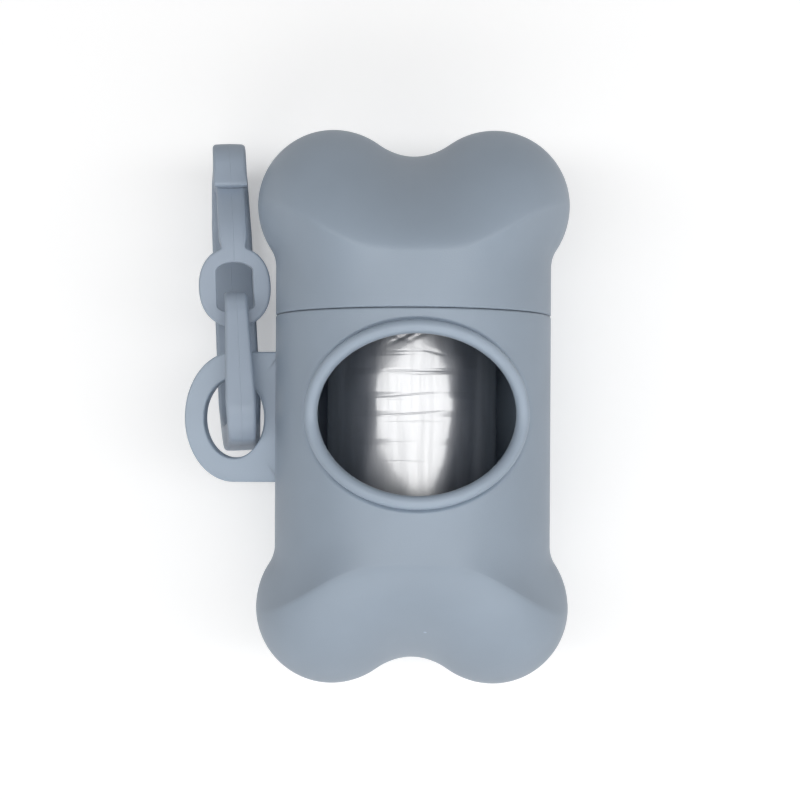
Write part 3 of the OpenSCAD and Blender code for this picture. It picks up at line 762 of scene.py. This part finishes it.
def film_lift(x, y):
    """How far the film's surface lies from a plain cylinder: sunk where it slackened, a slow rise
    towards the ends, a changing roundness, narrow creases, and ripples as a sum of sines."""
    lift = top_rise * np.clip((np.abs(y) - 6) / 8, 0, 1) ** 2 * np.exp(-((x / 11) ** 4)) - top_sunk
    off = x - np.interp(y, film_at, film_middle)
    lift -= (np.interp(y, film_at, film_round) - 1) * off**2 * np.exp(-((off / 7.5) ** 4)) / (2 * roll_r)
    for place, slope, depth, width, first, last in creases:
        near = np.exp(-(((y - place - slope * x) / width) ** 2))
        ends = 1 / (1 + np.exp(-(x - first) / 0.7)) / (1 + np.exp((x - last) / 0.7))
        lift -= depth * near * ends
    waves = np.random.default_rng(7).uniform(-1, 1, (26, 5))
    for across, along, phase, tall, bend in waves:
        k_across, k_along = 0.55 + 1.3 * abs(across), 0.12 + 0.5 * abs(along)
        place = k_across * (x + 0.3 * bend * y) + np.sign(across) * k_along * y + 6 * phase
        lift += 0.011 * tall / k_across * np.sin(place)
    return lift


def film_radius(turn, y):
    """Radius of the film at an angle and a place along the roll: the lift over its top, and slack
    at its left as a Gaussian of the angle. Both fade out towards the ends, which are rounded by the
    square of the place."""
    top = film_lift(roll_r * np.cos(turn), y) * np.clip(np.sin(turn) * 1.5, 0, 1)
    loose = top + side_slack * np.exp(-(((turn - np.pi) / 0.6) ** 2))
    rounded = round_in * np.clip((np.abs(y) - round_from) / round_over, 0, 1) ** 2
    return roll_r - film_fit + loose * np.clip((slack_to - np.abs(y)) / slack_fade, 0, 1) - rounded


def spread(low, high, fine_low, fine_high, coarse, fine):
    """Numbers from low to high: fine ones in the middle part, coarse ones outside it."""
    return np.concatenate([np.linspace(low, fine_low, coarse)[:-1], np.linspace(fine_low, fine_high, fine),
                           np.linspace(fine_high, high, coarse)[1:]])


film_turn = np.radians(spread(-90, 270, 35, 145, 30, 150))[:-1]
film_y = spread(-roll_half + 0.3, roll_half - 0.3, -15, 14, 12, 400)
turn, y = np.meshgrid(film_turn, film_y)
r = film_radius(turn, y)
side = np.stack([r * np.cos(turn), y, r * np.sin(turn)], -1)
# Each end is nearly flat, with shallow steps between the turns of film
end_r = [roll_r - 1.8, roll_r - 2.0, 11.3, 10.3, 9.1, 7.7, roll_bore_r + 0.25, roll_bore_r]
end_r = np.array(end_r)[:, None]
end_y = roll_half - np.array([0.1, 0, 0.05, 0.0, 0.04, 0.0, 0.02, 0.2])[:, None]
top_end, low_end = (
    np.stack([end_r * np.cos(film_turn), way * end_y + 0 * film_turn, end_r * np.sin(film_turn)], -1)
    for way in (1, -1))
rows = np.vstack([side, top_end, low_end[::-1]])
points = rows.reshape(-1, 3) + [roll_x, 0, roll_z]
film = make_piece("film_roll", points, closed_quads(len(rows), len(film_turn)), sharp=50)

finish = Finish("glossy_black_film", IOR=2.3, Specular_IOR_Level=1.0, Coat_IOR=2.05, Coat_Roughness=0.22)
streaks = finish.noise(160, detail=4, stretch=(3.2, 0.25, 1))
combed = finish.noise(160, detail=2, stretch=(5.5, 0.3, 1))
fine = finish.noise(900, detail=3, stretch=(2, 0.5, 1))
# Partly the film's own streaky tone, partly painted sheen: the black film's base colour is lifted to grey,
# with streaks standing in for a soft reflection
grey = finish.mix(streaks.above(0.3, 0.7), (0.070, 0.079, 0.102), (0.125, 0.137, 0.168))
film_plastic = finish.set(Base_Color=grey, Roughness=streaks * 0.36 + combed * 0.16 + 0.26,
                          Coat_Weight=(combed * streaks).above(0.12, 0.3) * 0.6 + 0.4,
                          Normal=finish.bump(streaks * 0.6 + fine * 0.4, 0.00006))
film.data.materials.append(film_plastic)
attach(film, "roll")
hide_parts("bag_roll")

# ---- Core of the roll ----
# A tube of grey card, wound from one strip, that the film is rolled on. Its seam runs round it in
# a spiral, and its ends are cut square.

card_r, card_in_r, card_half, card_edge, card_around = 5.98, 5.1, 28.5, 0.1, 96
strip_w, seam_deep, seam_half_w, plain_half = 26, 0.05, 0.25, 27
card_turn = np.linspace(0, 2 * np.pi, card_around, endpoint=False)
card_ys = np.linspace(-plain_half, plain_half, 80)
square_end = [(card_in_r, card_edge - card_half), (card_in_r + card_edge, -card_half),
              (roll_bore_r - card_edge, -card_half), (card_r, card_edge - card_half)]
card = [*square_end, *((card_r, y) for y in card_ys),
        *((r, -y) for r, y in square_end[::-1]), *((card_in_r, y) for y in card_ys[::-1])]
r, y = np.array(card).T[:, :, None]
# The seam: a narrow groove, a Gaussian of the distance from the strip's edge
spiral = np.mod(card_turn / (2 * np.pi) + y / strip_w, 1) * strip_w
groove = seam_deep * np.exp(-((np.minimum(spiral, strip_w - spiral) / seam_half_w) ** 2))
r = r - groove * (np.abs(y) < plain_half + 0.5)
points = np.stack([r * np.cos(card_turn), y + 0 * card_turn, r * np.sin(card_turn)], -1).reshape(-1, 3)
core = make_piece("card_core", points + [roll_x, 0, roll_z], closed_quads(len(card), card_around))
finish = Finish("grey_card", Specular_IOR_Level=0.2)
fibres = finish.noise(1500, detail=5, roughness=0.7, stretch=(1, 0.3, 1))
blotch = finish.noise(240, detail=3)
tone = finish.mix(fibres.above(0.35, 0.65), (0.30, 0.25, 0.19), (0.42, 0.36, 0.28))
card_board = finish.set(Base_Color=finish.mix(blotch.above(0.4, 0.7), tone, (0.36, 0.31, 0.25)),
                        Roughness=fibres * 0.15 + 0.75, Normal=finish.bump(fibres, 0.00006))
core.data.materials.append(card_board)
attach(core, "roll")
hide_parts("core_tube")

# ---- Table, lamps and camera ----
# A white table that glows for the camera alone, and more so far from the bone, under a wide soft
# lamp straight above, with weaker ones past the bone's lower end and to its right. The camera looks
# straight down.

floor_mesh = bpy.data.meshes.new("table_top")
corners = [(-1.5, -1.5, 0), (1.5, -1.5, 0), (1.5, 1.5, 0), (-1.5, 1.5, 0)]
floor_mesh.from_pydata(corners, [], [(0, 1, 2, 3)])
floor = bpy.data.objects.new("table_top", floor_mesh)
bpy.context.collection.objects.link(floor)
finish = Finish("white_table", Base_Color=(0.88, 0.88, 0.88, 1), Emission_Strength=1, Roughness=0.9,
                Specular_IOR_Level=0.1)
seen = finish.add("ShaderNodeLightPath", out="Is Camera Ray")
away = finish.add("ShaderNodeVectorMath", {"Vector": finish.place}, out="Value", operation="LENGTH")
near_glow = 0.3
glow = seen * (away.above(0.1, 0.7) * (1 - near_glow) + near_glow)
floor.data.materials.append(finish.set(Emission_Color=finish.mix(glow, (0, 0, 0), (1, 1, 1))))


def soft_lamp(name, place, aim, wide, tall, level):
    """A rectangular lamp that faces a point. The level is the brightness of its face, 1 for white."""
    lamp = bpy.data.lights.new(name, "AREA")
    lamp.shape, lamp.size, lamp.size_y = "RECTANGLE", wide, tall
    lamp.energy = level * math.pi * wide * tall
    thing = bpy.data.objects.new(name, lamp)
    bpy.context.collection.objects.link(thing)
    thing.location = place
    thing.rotation_euler = (Vector(place) - Vector(aim)).to_track_quat("Z", "Y").to_euler()
    thing.visible_camera = False


soft_lamp("lamp_above", (0.02, 0, 0.72), (0.02, 0, 0), 1.9, 0.22, 3.8)
soft_lamp("lamp_low_end", (0.05, -0.57, 0.46), (0, 0, 0.02), 1.3, 0.47, 1.25)
soft_lamp("lamp_right", (0.8, 0, 0.3), (0, 0, 0.02), 0.7, 0.5, 0.45)

# A dim room that is white to the camera and in what glossy and clear surfaces show
room_level = 0.13
world = bpy.data.worlds.new("white_room")
bpy.context.scene.world = world
world.use_nodes = True
tree = world.node_tree
rays = tree.nodes.new("ShaderNodeLightPath")
last = rays.outputs["Is Camera Ray"]
for ray in ("Is Glossy Ray", "Is Transmission Ray"):
    either = tree.nodes.new("ShaderNodeMath")
    either.operation = "MAXIMUM"
    tree.links.new(last, either.inputs[0])
    tree.links.new(rays.outputs[ray], either.inputs[1])
    last = either.outputs["Value"]
strength = tree.nodes.new("ShaderNodeMapRange")
strength.inputs["To Min"].default_value, strength.inputs["To Max"].default_value = room_level, 1.0
tree.links.new(last, strength.inputs["Value"])
tree.links.new(strength.outputs["Result"], tree.nodes["Background"].inputs["Strength"])
tree.nodes["Background"].inputs["Color"].default_value = (1, 1, 1, 1)

camera_data = bpy.data.cameras.new("camera")
camera_data.sensor_width, camera_data.lens = 36, 55.35
camera_data.clip_start, camera_data.clip_end = 0.01, 20
camera = bpy.data.objects.new("camera", camera_data)
bpy.context.collection.objects.link(camera)
camera.location = ((axis_x - 2.1) / 1000, 0.00107, 0.22404)
camera.rotation_euler = (0, 0, math.radians(0.3))
bpy.context.scene.camera = camera
bpy.context.scene.view_settings.view_transform = "Standard"
